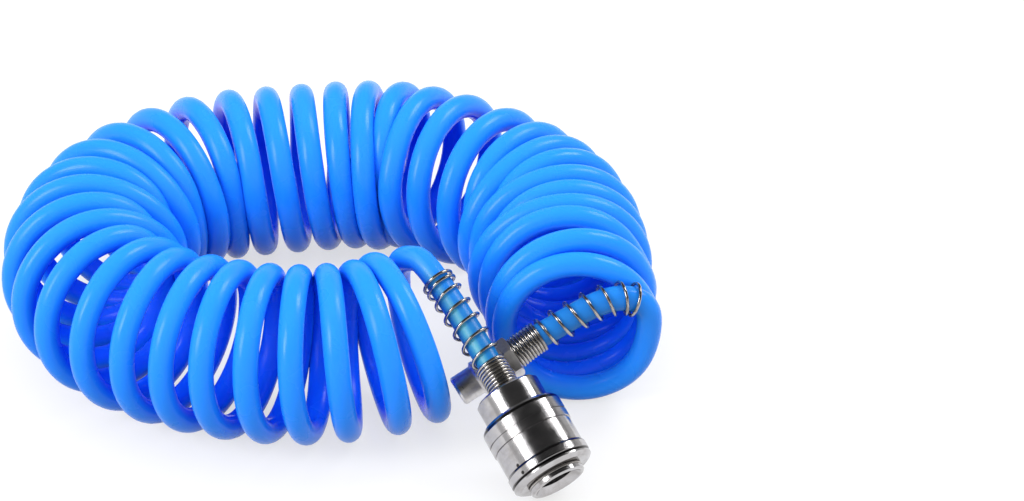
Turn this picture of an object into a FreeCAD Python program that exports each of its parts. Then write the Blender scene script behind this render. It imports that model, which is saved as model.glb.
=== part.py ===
# Coiled air hose: a spring-coiled hose lying in an open ring, with a quick coupler on one
# end, a plug on the other, and a wire bend guard over each end of the hose.
import FreeCAD, Part
import math
import os
import Sketcher
from FreeCAD import Placement, Rotation, Vector

# Driving dimensions in millimetres. A station is a distance along a fitting's axis,
# measured backwards from the front face of the coupler or from the tip of the plug.
SIZES = {
    # Hose and coil
    "hose_diameter": 8.0,
    "hose_bore": 5.0,
    "coil_diameter": 57.0,
    "turn_points": 10,
    "coupler_tail_run": 53.2,
    "plug_tail_run": 40.8,
    # Coupler barrel
    "socket_radius": 6.0,
    "barrel_wall": 2.9,
    "barrel_length": 24.4,
    "lip_height": 0.2,
    "lip_length": 1.6,
    "lip_bevel": 0.4,
    "funnel_step": 1.9,
    "funnel_depth": 2.2,
    "neck_depth": 0.6,
    "neck_length": 1.0,
    "seal_groove_station": 14.2,
    "seal_groove_length": 2.2,
    "seal_groove_depth": 0.9,
    "seat_wall": 1.2,
    "seat_clearance": 0.4,
    "cap_thread_wall": 1.3,
    "cap_thread_length": 3.2,
    "chamber_step": 1.0,
    # Seals
    "socket_seal_cord": 1.0,
    "cap_seal_cord": 0.5,
    "seal_gap": 0.05,
    # Locking balls
    "ball_bores": 3,
    "ball_radius": 2.0,
    "ball_station": 10.0,
    "ball_hole_gap": 0.06,
    "ball_land_gap": 0.10,
    "ball_relief_depth": 0.2,
    "ball_relief_margin": 0.14,
    # Sliding sleeve
    "sleeve_gap": 0.08,
    "sleeve_front_gap": 0.03,
    "sleeve_length": 22.5,
    "sleeve_wall": 1.7,
    "sleeve_guide": 2.1,
    "sleeve_relief_depth": 1.1,
    "sleeve_ramp": 2.6,
    "sleeve_land": 4.6,
    "sleeve_land_overlap": 0.1,
    "stop_ring_cord": 0.42,
    "stop_ring_gap": 0.03,
    # End cap and hose stem
    "cap_clearance": 0.7,
    "cap_length": 9.0,
    "cap_bevel": 0.7,
    "cap_spigot": 2.1,
    "thread_gap": 0.05,
    "cap_wall_depth": 4.0,
    "cap_wall": 1.2,
    "cap_hole_step": 0.15,
    "guard_socket_gap": 0.10,
    "stem_flange": 1.2,
    "stem_length": 14.0,
    "stem_gap": 0.05,
    "stem_wall": 0.75,
    "stem_undercut": 0.15,
    "stem_tip_step": 0.35,
    "stem_root": 1.0,
    "barb_count": 3,
    "barb_height": 0.04,
    "barb_first": 1.5,
    "barb_pitch": 3.0,
    "barb_step": 0.1,
    # Valve
    "poppet_front_station": 16.1,
    "poppet_crown_clearance": 1.1,
    "poppet_crown_wall": 1.0,
    "poppet_crown_bevel": 0.3,
    "poppet_window": 0.8,
    "poppet_window_margin": 0.5,
    "poppet_bores": 3,
    "poppet_flange_clearance": 0.4,
    "poppet_flange": 1.5,
    "poppet_spigot_radius": 3.2,
    "poppet_spigot": 2.0,
    "valve_seal_thickness": 0.65,
    "valve_seal_inset": 0.1,
    "valve_gap": 0.05,
    # Coil springs inside the coupler
    "sleeve_spring_wire": 0.45,
    "sleeve_spring_gap": 0.75,
    "sleeve_spring_turns": 4,
    "valve_spring_wire": 0.40,
    "valve_spring_gap": 1.05,
    "valve_spring_turns": 3,
    "spring_end_gap": 0.05,
    # Bend guards
    "guard_wire": 0.55,
    "guard_hose_gap": 0.15,
    "guard_close_pitch": 1.12,
    "guard_end_pitch": 2.7,
    "coupler_guard_open_pitch": 5.3,
    "plug_guard_open_pitch": 4.2,
    "coupler_guard_close_turns": 11,
    "coupler_guard_open_turns": 6,
    "plug_guard_close_turns": 10,
    "plug_guard_open_turns": 5,
    # Plug
    "nose_step": 1.0,
    "nose_length": 7.0,
    "nose_bevel": 0.6,
    "nose_bore": 3.0,
    "nose_bore_depth": 14.0,
    "nose_bore_cone": 1.3,
    "bead_gap": 0.1,
    "bead_length": 2.4,
    "bead_bevel": 0.7,
    "lock_groove_gap": 0.28,
    "lock_groove_length": 2.8,
    "lock_groove_ramp": 0.4,
    "shank_step": 0.7,
    "shank_length": 3.8,
    "collar_step": 0.4,
    "collar_length": 2.0,
    "collar_bevel": 0.3,
    "nut_thread_step": 0.45,
    "nut_thread_length": 1.6,
    "nut_step_gap": 0.1,
    "nut_wall": 0.65,
    "nut_length": 3.4,
    "nut_bevel": 0.5,
    "plug_stem_length": 13.0,
}

# Outside of the sleeve, as (rise over its plain radius, distance) from its front and its rear.
SLEEVE_FRONT_OUTLINE = [
    (-1.4, 0.0),
    (-0.3, 0.5),
    (0.35, 1.1),
    (0.35, 1.7),
    (-0.1, 2.1),
    (0.45, 2.6),
    (0.45, 5.0),
    (0.0, 5.6),
]
SLEEVE_REAR_OUTLINE = [
    (0.0, 9.1),
    (-0.2, 9.0),
    (-0.2, 8.7),
    (0.35, 8.5),
    (0.35, 6.0),
    (-0.05, 5.9),
    (-0.05, 5.6),
    (0.35, 5.5),
    (0.35, 1.9),
    (0.05, 0.8),
    (-0.65, 0.0),
]

# Places that the coil and its two ends take on the floor, chosen by eye. They are written
# about a handy point in the ring, and the centre of the finished part is taken off them.
LAYOUT_CENTRE = (-1.1, 5.1)
COIL_ROUTE = [
    (22.3, -32.4),
    (6.0, -39.4),
    (-29.0, -38.0),
    (-67.0, -22.0),
    (-82.0, 8.0),
    (-74.0, 41.0),
    (-48.0, 67.0),
    (-15.0, 71.0),
    (19.0, 69.0),
    (52.0, 58.0),
    (74.0, 37.0),
    (77.5, 8.0),
    (77.3, -17.5),
]

# Each end turn stands clear of the coil: its centre moves from one place to the other
# while its phase goes from the first value to the second, and its top leans aside.
COUPLER_TURN = {
    "centres": ((22.3, -32.1), (29.9, -27.2)),
    "phases": (378.0, 90.0),
    "back": 110.0,
    "lean": -0.14,
}
COUPLER_TAIL_BEND = [(21.6, -8.6, 42.0), (25.6, -15.8, 50.6)]

PLUG_TURN = {
    "centres": ((77.3, -17.0), (77.1, -26.1)),
    "phases": (-72.0, 252.0),
    "back": 180.0,
    "lean": 0.0,
}
PLUG_TAIL_BEND = [(101.8, -26.1, 40.3)]

# Where each fitting lies: its front point, its compass heading and how far its nose dips.
# The plug's height is that of its nose's top, so that a thicker nose stays under the guard.
COUPLER_PLACE = {"front": (72.4, -81.9, 9.9), "heading": -55.8, "dip": 31.0}
PLUG_PLACE = {"front": (40.9, -46.8, 23.7), "heading": 202.7, "dip": 24.5}

SHEET_NAME = "Sizes"

# Share of the shorter run that the arc at a corner of a route takes up.
RUN_SHARE = 0.45


class Size:
    """A length that knows both its number and the sheet expression it comes from."""

    def __init__(self, value, text):
        self.value = value
        self.text = text

    def _joined(self, other, sign, value):
        text = other.text if isinstance(other, Size) else repr(other)
        return Size(value, "(%s %s %s)" % (self.text, sign, text))

    def __add__(self, other):
        return self._joined(other, "+", self.value + number(other))

    def __sub__(self, other):
        return self._joined(other, "-", self.value - number(other))

    def __mul__(self, other):
        return self._joined(other, "*", self.value * number(other))

    def __truediv__(self, other):
        return self._joined(other, "/", self.value / number(other))


def number(item):
    """The plain number of a Size or of a number."""
    return item.value if isinstance(item, Size) else float(item)


class Sheet:
    """Gives each cell of the spreadsheet as a Size under its alias."""

    def __init__(self, doc, sizes):
        self.cells = doc.addObject("Spreadsheet::Sheet", SHEET_NAME)
        for row, (alias, value) in enumerate(sizes.items(), start=1):
            self.cells.set("A%d" % row, alias)
            self.cells.set("B%d" % row, str(value))
            self.cells.setAlias("B%d" % row, alias)
        doc.recompute()

    def __getattr__(self, alias):
        return Size(float(self.cells.get(alias)), "%s.%s" % (SHEET_NAME, alias))


doc = FreeCAD.newDocument("coiled_air_hose")
dim = Sheet(doc, SIZES)
parts = []
printed_radii = []


def spot(x, y, z):
    """A point of the layout in the part's own frame."""
    return Vector(x - LAYOUT_CENTRE[0], y - LAYOUT_CENTRE[1], z)


def keep(item, label, place=None):
    """List a finished sub-part under its file name."""
    item.Label = label
    if place is not None:
        item.Placement = place
    parts.append(item)
    return item


def bind(item, **values):
    """Set properties of an object from Sizes, each as an expression on the sheet."""
    for name, value in values.items():
        item.setExpression(name.replace("__", "."), value.text if isinstance(value, Size) else repr(value))


def fitting_place(layout, drop=0.0):
    """Placement of a fitting: local Z runs backwards along its axis from its front, let down by drop."""
    heading = math.radians(layout["heading"])
    dip = math.radians(layout["dip"])
    back = Vector(-math.cos(heading) * math.cos(dip), -math.sin(heading) * math.cos(dip), math.sin(dip))
    side = Vector(-math.sin(heading), math.cos(heading), 0)
    front = spot(*layout["front"]) - Vector(0, 0, drop)
    return Placement(front, Rotation(side, back.cross(side), back, "ZXY"))


# Turned parts

def origin_plane(body, role):
    """The origin plane of a body that has the given role."""
    return [plane for plane in body.Origin.OriginFeatures if plane.Role == role][0]


def place_corner(sketch, line, corner):
    """Tie the first point of a line to its radius and station."""
    for kind, axis, size in (("DistanceX", -2, corner[0]), ("DistanceY", -1, corner[1])):
        if number(size) == 0:
            sketch.addConstraint(Sketcher.Constraint("PointOnObject", line, 1, axis))
        else:
            index = sketch.addConstraint(Sketcher.Constraint(kind, line, 1, number(size)))
            if isinstance(size, Size):
                sketch.setExpression("Constraints[%d]" % index, size.text)


def turned(name, outline):
    """A body turned about Z from an outline of (radius, station) corners."""
    body = doc.addObject("PartDesign::Body", name)
    sketch = body.newObject("Sketcher::SketchObject", name + "_outline")
    sketch.AttachmentSupport = [(origin_plane(body, "XZ_Plane"), "")]
    sketch.MapMode = "FlatFace"
    corners = [Vector(number(radius), number(station), 0) for radius, station in outline]
    ends = corners[1:] + corners[:1]
    sketch.addGeometry([Part.LineSegment(start, end) for start, end in zip(corners, ends)])
    count = len(corners)
    for line in range(count):
        sketch.addConstraint(Sketcher.Constraint("Coincident", line, 2, (line + 1) % count, 1))
    for line, corner in enumerate(outline):
        place_corner(sketch, line, corner)
    turn = body.newObject("PartDesign::Revolution", name + "_turn")
    turn.Profile = sketch
    turn.ReferenceAxis = (sketch, ["V_Axis"])
    turn.Angle = 360
    doc.recompute()
    return body


def cross_drill(body, name, station, radius, bores):
    """Drill an odd number of bores right across a turned body, evenly round it."""
    sketch = body.newObject("Sketcher::SketchObject", name + "_circle")
    sketch.AttachmentSupport = [(origin_plane(body, "XZ_Plane"), "")]
    sketch.MapMode = "FlatFace"
    sketch.addGeometry(Part.Circle(Vector(0, number(station), 0), Vector(0, 0, 1), number(radius)))
    sketch.addConstraint(Sketcher.Constraint("PointOnObject", 0, 3, -2))
    height = sketch.addConstraint(Sketcher.Constraint("DistanceY", 0, 3, number(station)))
    sketch.setExpression("Constraints[%d]" % height, station.text)
    width = sketch.addConstraint(Sketcher.Constraint("Radius", 0, number(radius)))
    sketch.setExpression("Constraints[%d]" % width, radius.text)
    pocket = body.newObject("PartDesign::Pocket", name + "_pocket")
    pocket.Profile = sketch
    pocket.Type = "ThroughAll"
    pocket.SideType = "Symmetric"
    doc.recompute()
    pattern = body.newObject("PartDesign::PolarPattern", name + "_pattern")
    pattern.Originals = [pocket]
    pattern.Axis = (sketch, ["V_Axis"])
    pattern.Angle = 360
    pattern.Occurrences = bores
    body.Tip = pattern
    doc.recompute()


def keep_ring(name, radius, cord, station, place):
    """Make a ring and put it at its station in the fitting."""
    torus = doc.addObject("Part::Torus", name)
    bind(torus, Radius1=radius, Radius2=cord)
    lift = Placement(Vector(0, 0, number(station)), Rotation())
    return keep(torus, name, place.multiply(lift))


# Wire springs

def spring_run(name, radius, wire, pitch, turns, start):
    """One stretch of round wire wound at one pitch, from a station upwards."""
    helix = doc.addObject("Part::Helix", name + "_helix")
    bind(helix, Radius=radius, Pitch=pitch, Height=pitch * turns)
    bind(helix, Placement__Base__z=start)
    section = doc.addObject("Part::Circle", name + "_section")
    bind(section, Radius=wire, Placement__Base__x=radius, Placement__Base__z=start)
    section.Placement.Rotation = Rotation(Vector(1, 0, 0), 90)
    sweep = doc.addObject("Part::Sweep", name + "_wire")
    sweep.Sections = [section]
    doc.recompute()
    sweep.Spine = (helix, ["Edge%d" % (edge + 1) for edge in range(len(helix.Shape.Edges))])
    sweep.Solid = True
    sweep.Frenet = True
    doc.recompute()
    return sweep


def pressure_spring(name, radius, wire, turns, low, high, place):
    """A spring that fills the space between two stations."""
    pitch = (high - low - wire * 2 - dim.spring_end_gap * 2) / turns
    sweep = spring_run(name, radius, wire, pitch, turns, low + wire + dim.spring_end_gap)
    return keep(sweep, name, place)


def bend_guard(name, start, close_turns, open_turns, open_pitch, place):
    """A bend guard: close turns at the fitting, open turns and a closer last turn."""
    wire = dim.guard_wire
    radius = guard_radius()
    low = start + wire + dim.spring_end_gap
    middle = low + dim.guard_close_pitch * close_turns
    high = middle + open_pitch * open_turns
    close = spring_run(name + "_close", radius, wire, dim.guard_close_pitch, close_turns, low)
    opened = spring_run(name + "_open", radius, wire, open_pitch, open_turns, middle)
    last = spring_run(name + "_last", radius, wire, dim.guard_end_pitch, 1, high)
    whole = doc.addObject("Part::MultiFuse", name)
    whole.Shapes = [close, opened, last]
    doc.recompute()
    return keep(whole, name, place)


def guard_radius():
    """Radius to the middle of the guard's wire, which clears the hose."""
    return dim.hose_diameter / 2 + dim.guard_hose_gap + dim.guard_wire


def guard_socket():
    """Radius of a socket that takes the end of a guard."""
    return guard_radius() + dim.guard_wire + dim.guard_socket_gap


# Hose

def round_off(before, corner, after):
    """Tangent points, middle and radius of the arc that rounds a corner of a route."""
    back = before - corner
    ahead = after - corner
    half_turn = (math.pi - back.getAngle(ahead)) / 2
    reach = RUN_SHARE * min(back.Length, ahead.Length)
    radius = reach / math.tan(half_turn)
    back.normalize()
    ahead.normalize()
    inward = (back + ahead).normalize()
    depth = radius / math.cos(half_turn) - radius
    return corner + back * reach, corner + inward * depth, corner + ahead * reach, radius


def route_wire(points, label):
    """Straight runs joined by tangent arcs, as one wire."""
    edges = []
    start = points[0]
    radii = []
    for before, corner, after in zip(points, points[1:], points[2:]):
        enter, middle, leave, radius = round_off(before, corner, after)
        edges.append(Part.LineSegment(start, enter).toShape())
        edges.append(Part.Arc(enter, middle, leave).toShape())
        start = leave
        radii.append(radius)
    edges.append(Part.LineSegment(start, points[-1]).toShape())
    printed_radii.append((label, radii))
    return Part.Wire(edges)


def tube(wire, radius):
    """A round rod along a wire."""
    first = wire.Edges[0]
    start = first.valueAt(first.FirstParameter)
    section = Part.Wire([Part.Circle(start, first.tangentAt(first.FirstParameter), radius).toShape()])
    return wire.makePipeShell([section], True, False)


def end_turn(turn):
    """Points of one turn of hose, far enough out that the rounded line has the coil's radius."""
    step = 360.0 / dim.turn_points.value
    first, last = turn["phases"]
    count = int(round(abs(last - first) / step)) + 1
    radius = coil_radius() / (1 - 2 * RUN_SHARE * (1 - math.cos(math.radians(step / 2))))
    back = Rotation(Vector(0, 0, 1), turn["back"]).multVec(Vector(1, 0, 0))
    start, end = [spot(x, y, dim.coil_diameter.value / 2) for x, y in turn["centres"]]
    points = []
    for index in range(count):
        share = index / (count - 1)
        phase = math.radians(first + (last - first) * share)
        rise = radius * math.cos(phase)
        points.append(start + (end - start) * share + back * (radius * math.sin(phase))
                      + Vector(turn["lean"] * rise, 0, rise))
    return points


def coil_radius():
    """Radius of the hose's centre line in one turn."""
    return (dim.coil_diameter.value - dim.hose_diameter.value) / 2


def along(place, station):
    """A point on a fitting's axis."""
    return place.multVec(Vector(0, 0, number(station)))


def hose_tail(name, points):
    """A hollow end of hose along its points."""
    wire = route_wire(points, name)
    outer = tube(wire, dim.hose_diameter.value / 2)
    bore = tube(wire, dim.hose_bore.value / 2)
    shape = outer.cut(bore)
    section = math.pi / 4 * (dim.hose_diameter.value ** 2 - dim.hose_bore.value ** 2)
    print("%s length %.1f mm, volume %.0f of %.0f mm3" % (
        name, wire.Length, shape.Volume, section * wire.Length))
    feature = doc.addObject("Part::Feature", name)
    feature.Shape = shape
    return keep(feature, name)


def make_hose(coupler_place, plug_place):
    """The coil as one fat rod of its outer diameter, and the two ends of the hose."""
    centre_height = dim.coil_diameter.value / 2
    wire = route_wire([spot(x, y, centre_height) for x, y in COIL_ROUTE], "hose_coil")
    coil = doc.addObject("Part::Feature", "hose_coil")
    coil.Shape = tube(wire, centre_height)
    section = math.pi * centre_height ** 2
    print("hose_coil length %.1f mm, volume %.0f of %.0f mm3" % (
        wire.Length, coil.Shape.Volume, section * wire.Length))
    keep(coil, "hose_coil")
    coupler_points = end_turn(COUPLER_TURN) + [spot(*point) for point in COUPLER_TAIL_BEND]
    coupler_end = coupler_hose_end()
    coupler_points.append(along(coupler_place, coupler_end + dim.coupler_tail_run))
    coupler_points.append(along(coupler_place, coupler_end))
    hose_tail("hose_tail_coupler", coupler_points)
    plug_points = end_turn(PLUG_TURN) + [spot(*point) for point in PLUG_TAIL_BEND]
    plug_points.append(along(plug_place, plug_hose_end() + dim.plug_tail_run))
    plug_points.append(along(plug_place, plug_hose_end()))
    hose_tail("hose_tail_plug", plug_points)


# Radii that several pieces of the coupler share

def barrel_radius():
    """Outer radius of the barrel."""
    return dim.socket_radius + dim.barrel_wall


def neck_radius():
    """Bottom of the neck that the stop ring lies in."""
    return barrel_radius() - dim.neck_depth


def thread_radius():
    """Radius of the thread between barrel and end cap."""
    return barrel_radius() - dim.cap_thread_wall


def chamber_radius():
    """Radius of the valve chamber."""
    return thread_radius() - dim.chamber_step


def seat_radius():
    """Radius of the valve seat's hole, which the nose of a plug passes through."""
    return nose_radius() + dim.seat_clearance


def crown_radius():
    """Outer radius of the poppet's crown."""
    return seat_radius() - dim.poppet_crown_clearance


def flange_radius():
    """Outer radius of the poppet's flange."""
    return chamber_radius() - dim.poppet_flange_clearance


def sleeve_bore():
    """Bore of the sleeve where it runs on the barrel."""
    return barrel_radius() + dim.sleeve_gap


def sleeve_spring_radius():
    """Radius to the middle of the sleeve spring's wire, clear of the barrel."""
    return barrel_radius() + dim.sleeve_spring_gap + dim.sleeve_spring_wire


def sleeve_chamber_radius():
    """Radius of the space in the sleeve that the spring lies in."""
    return sleeve_spring_radius() + dim.sleeve_spring_wire + dim.sleeve_spring_gap


def sleeve_radius():
    """Plain outer radius of the sleeve."""
    return sleeve_chamber_radius() + dim.sleeve_wall


def cap_radius():
    """Outer radius of the end cap, which the sleeve slides over."""
    return sleeve_chamber_radius() - dim.cap_clearance


def ball_orbit():
    """Radius to the middle of each ball while the sleeve's land holds it in."""
    return sleeve_bore() - dim.ball_land_gap - dim.ball_radius


# Stations that several pieces of the coupler share

def seat_station():
    """The valve seat: the rear face of the wall behind the socket seal."""
    return dim.seal_groove_station + dim.seal_groove_length + dim.seat_wall


def barrel_front():
    """The front edge of the part of the barrel that carries the sleeve."""
    return dim.lip_length + dim.neck_length


def sleeve_front():
    """The front face of the sleeve at rest, against its stop ring."""
    return barrel_front() + dim.sleeve_front_gap


def land_front():
    """Front edge of the land that holds the balls in."""
    return dim.ball_station + dim.sleeve_land_overlap


def cap_rear():
    """Rear face of the end cap."""
    return dim.barrel_length + dim.cap_length


def cap_wall_station():
    """Front face of the wall inside the end cap."""
    return dim.barrel_length + dim.cap_wall_depth


def guard_shelf():
    """Shelf inside the end cap that the flange of the stem lies on."""
    return cap_wall_station() + dim.cap_wall


def coupler_hose_end():
    """Where the hose ends against the flange of its stem."""
    return guard_shelf() + dim.stem_flange


# Radii and stations that several pieces of the plug share

def bead_radius():
    """Radius of the bead, which runs in the socket."""
    return dim.socket_radius - dim.bead_gap


def nose_radius():
    """Radius of the nose, which goes through the seal and the valve seat."""
    return bead_radius() - dim.nose_step


def nut_thread_radius():
    """Radius of the plug's thread, inside the nut's socket for the guard."""
    return guard_socket() - dim.nut_thread_step


def bead_rear():
    """Rear face of the bead that the balls hold."""
    return dim.nose_length + dim.bead_length


def collar_front():
    """Front face of the collar of the plug."""
    return bead_rear() + dim.lock_groove_length + dim.shank_length


def nut_front():
    """Front face of the hose nut."""
    return collar_front() + dim.collar_length


def plug_hose_end():
    """Where the hose ends against the threaded shank of the plug."""
    return nut_front() + dim.nut_thread_length


def nut_step():
    """Step in the nut that the guard stands on."""
    return plug_hose_end() + dim.nut_step_gap


# Coupler

def coupler_body(place):
    """Barrel with socket, ball relief, seal groove, valve seat and ball holes."""
    seat = seat_station()
    groove_end = dim.seal_groove_station + dim.seal_groove_length
    groove_radius = dim.socket_radius + dim.seal_groove_depth
    thread_front = dim.barrel_length - dim.cap_thread_length
    lip_radius = barrel_radius() + dim.lip_height
    relief_radius = dim.socket_radius + dim.ball_relief_depth
    relief_reach = dim.ball_radius + dim.ball_hole_gap + dim.ball_relief_margin
    body = turned("coupler_body", [
        (dim.socket_radius + dim.funnel_step, 0),
        (lip_radius - dim.lip_bevel, 0),
        (lip_radius, dim.lip_bevel),
        (lip_radius, dim.lip_length),
        (neck_radius(), dim.lip_length),
        (neck_radius(), barrel_front()),
        (barrel_radius(), barrel_front()),
        (barrel_radius(), dim.barrel_length),
        (thread_radius(), dim.barrel_length),
        (thread_radius(), thread_front),
        (chamber_radius(), thread_front),
        (chamber_radius(), seat),
        (seat_radius(), seat),
        (seat_radius(), groove_end),
        (groove_radius, groove_end),
        (groove_radius, dim.seal_groove_station),
        (dim.socket_radius, dim.seal_groove_station),
        (dim.socket_radius, dim.ball_station + relief_reach),
        (relief_radius, dim.ball_station + relief_reach),
        (relief_radius, dim.ball_station - relief_reach),
        (dim.socket_radius, dim.ball_station - relief_reach),
        (dim.socket_radius, dim.funnel_depth),
    ])
    bores = int(dim.ball_bores.value)
    cross_drill(body, "ball_holes", dim.ball_station, dim.ball_radius + dim.ball_hole_gap, bores)
    keep(body, "coupler_body", place)


def coupler_end_cap(place):
    """Cap that screws into the barrel and holds the hose stem and the guard."""
    spigot_radius = thread_radius() - dim.thread_gap
    spigot_front = dim.barrel_length - dim.cap_spigot
    body = turned("coupler_end_cap", [
        (chamber_radius(), spigot_front),
        (spigot_radius, spigot_front),
        (spigot_radius, dim.barrel_length),
        (cap_radius(), dim.barrel_length),
        (cap_radius(), cap_rear() - dim.cap_bevel),
        (cap_radius() - dim.cap_bevel, cap_rear()),
        (guard_socket(), cap_rear()),
        (guard_socket(), guard_shelf()),
        (cap_hole_radius(), guard_shelf()),
        (cap_hole_radius(), cap_wall_station()),
        (chamber_radius(), cap_wall_station()),
    ])
    keep(body, "coupler_end_cap", place)


def barbed_stem(bore, radius, start, length):
    """Outline of a barbed stem from its free end back to where it starts."""
    tip = start + length
    barb = radius + dim.barb_height
    shaft = radius - dim.stem_undercut
    corners = [(bore, tip), (radius - dim.stem_tip_step, tip)]
    for index in range(int(dim.barb_count.value)):
        foot = tip - dim.barb_first - dim.barb_pitch * index
        corners.append((barb, foot))
        corners.append((shaft, foot - dim.barb_step))
    corners.append((shaft, start + dim.stem_root))
    corners.append((shaft, start))
    return corners


def stem_radius():
    """Outer radius of a stem inside the hose."""
    return dim.hose_bore / 2 - dim.stem_gap


def stem_bore():
    """Bore through a stem."""
    return stem_radius() - dim.stem_wall


def cap_hole_radius():
    """Hole in the wall of the end cap that the stem goes through."""
    return stem_radius() + dim.cap_hole_step


def coupler_hose_stem(place):
    """Barbed stem inside the hose, clamped in the end cap by its flange."""
    start = coupler_hose_end()
    outline = barbed_stem(stem_bore(), stem_radius(), start, dim.stem_length)
    outline += [
        (guard_socket() - dim.thread_gap, start),
        (guard_socket() - dim.thread_gap, guard_shelf()),
        (cap_hole_radius() - dim.thread_gap, guard_shelf()),
        (cap_hole_radius() - dim.thread_gap, cap_wall_station()),
        (stem_bore(), cap_wall_station()),
    ]
    keep(turned("coupler_hose_stem", outline), "coupler_hose_stem", place)


def coupler_sleeve(place):
    """Sliding sleeve with its grip bands outside and the ball relief inside."""
    front = sleeve_front()
    rear = front + dim.sleeve_length
    bore = sleeve_bore()
    relief = bore + dim.sleeve_relief_depth
    land = land_front()
    shoulder = land + dim.sleeve_land
    chamber = sleeve_chamber_radius()
    outline = [(bore, front)]
    outline += [(sleeve_radius() + rise, front + distance) for rise, distance in SLEEVE_FRONT_OUTLINE]
    outline += [(sleeve_radius() + rise, rear - distance) for rise, distance in SLEEVE_REAR_OUTLINE]
    body = turned("coupler_sleeve", outline + [
        (chamber, rear),
        (chamber, shoulder),
        (bore, shoulder),
        (bore, land),
        (relief, land - dim.sleeve_ramp),
        (relief, front + dim.sleeve_guide),
        (bore, front + dim.sleeve_guide),
    ])
    keep(body, "coupler_sleeve", place)


def locking_balls(place):
    """Balls that stand through the barrel wall into the socket."""
    orbit = ball_orbit().value
    count = 2 * int(dim.ball_bores.value)
    for index in range(count):
        ball = doc.addObject("Part::Sphere", "ball_%d" % (index + 1))
        bind(ball, Radius=dim.ball_radius)
        angle = 2 * math.pi * index / count + math.pi / 2
        seat = Vector(orbit * math.cos(angle), orbit * math.sin(angle), dim.ball_station.value)
        keep(ball, "locking_ball_%d" % (index + 1), place.multiply(Placement(seat, Rotation())))


def valve_poppet(place):
    """Poppet with a windowed crown that the plug's nose pushes back."""
    seat = seat_station()
    flange = seat + dim.valve_seal_thickness + dim.valve_gap * 2
    rear = flange + dim.poppet_flange
    crown = crown_radius()
    crown_bore = crown - dim.poppet_crown_wall
    front = dim.poppet_front_station
    body = turned("valve_poppet", [
        (crown_bore, front),
        (crown - dim.poppet_crown_bevel, front),
        (crown, front + dim.poppet_crown_bevel),
        (crown, flange),
        (flange_radius(), flange),
        (flange_radius(), rear),
        (dim.poppet_spigot_radius, rear),
        (dim.poppet_spigot_radius, rear + dim.poppet_spigot),
        (0, rear + dim.poppet_spigot),
        (0, flange),
        (crown_bore, flange),
    ])
    window = front + dim.poppet_window + dim.poppet_window_margin
    cross_drill(body, "poppet_windows", window, dim.poppet_window, int(dim.poppet_bores.value))
    keep(body, "valve_poppet", place)


def valve_seal(place):
    """Flat seal between the poppet's flange and the valve seat."""
    front = seat_station() + dim.valve_gap
    rear = front + dim.valve_seal_thickness
    inner = crown_radius() + dim.valve_gap
    outer = flange_radius() - dim.valve_seal_inset
    body = turned("valve_seal", [(inner, front), (outer, front), (outer, rear), (inner, rear)])
    keep(body, "valve_seal", place)


def coupler_rings(place):
    """The two seals and the wire ring that stops the sleeve."""
    socket_seal = dim.socket_radius + dim.seal_groove_depth - dim.seal_gap - dim.socket_seal_cord
    groove_middle = dim.seal_groove_station + dim.seal_groove_length / 2
    keep_ring("socket_seal", socket_seal, dim.socket_seal_cord, groove_middle, place)
    cap_seal = thread_radius() - dim.seal_gap - dim.cap_seal_cord
    cap_gap_middle = dim.barrel_length - (dim.cap_thread_length + dim.cap_spigot) / 2
    keep_ring("cap_seal", cap_seal, dim.cap_seal_cord, cap_gap_middle, place)
    stop = dim.lip_length + dim.neck_length / 2
    stop_radius = neck_radius() + dim.stop_ring_cord + dim.stop_ring_gap
    keep_ring("sleeve_stop_ring", stop_radius, dim.stop_ring_cord, stop, place)


def coupler_springs(place):
    """The sleeve's return spring and the valve's return spring."""
    shoulder = land_front() + dim.sleeve_land
    pressure_spring("sleeve_spring", sleeve_spring_radius(), dim.sleeve_spring_wire, dim.sleeve_spring_turns,
                    shoulder, dim.barrel_length, place)
    flange_rear = seat_station() + dim.valve_seal_thickness + dim.valve_gap * 2 + dim.poppet_flange
    valve_spring_radius = dim.poppet_spigot_radius + dim.valve_spring_gap + dim.valve_spring_wire
    pressure_spring("valve_spring", valve_spring_radius, dim.valve_spring_wire, dim.valve_spring_turns,
                    flange_rear, cap_wall_station(), place)


# Plug

def plug_body(place):
    """Plug with nose, bead, ball groove, collar, threaded shank and barbed stem."""
    groove_radius = ball_orbit() - dim.ball_radius - dim.lock_groove_gap
    groove_end = bead_rear() + dim.lock_groove_length
    shank_radius = bead_radius() - dim.shank_step
    collar_radius = bead_radius() + dim.collar_step
    outline = [
        (dim.nose_bore, 0),
        (nose_radius() - dim.nose_bevel, 0),
        (nose_radius(), dim.nose_bevel),
        (nose_radius(), dim.nose_length),
        (bead_radius(), dim.nose_length + dim.bead_bevel),
        (bead_radius(), bead_rear() - dim.bead_bevel),
        (groove_radius, bead_rear()),
        (groove_radius, groove_end - dim.lock_groove_ramp),
        (shank_radius, groove_end),
        (shank_radius, collar_front()),
        (collar_radius - dim.collar_bevel, collar_front()),
        (collar_radius, collar_front() + dim.collar_bevel),
        (collar_radius, nut_front()),
        (nut_thread_radius(), nut_front()),
        (nut_thread_radius(), plug_hose_end()),
    ]
    stem = barbed_stem(stem_bore(), stem_radius(), plug_hose_end(), dim.plug_stem_length)
    outline += reversed(stem)
    bore_end = dim.nose_bore_depth + dim.nose_bore_cone
    outline += [(stem_bore(), bore_end), (dim.nose_bore, dim.nose_bore_depth)]
    keep(turned("plug_body", outline), "plug_body", place)


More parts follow.
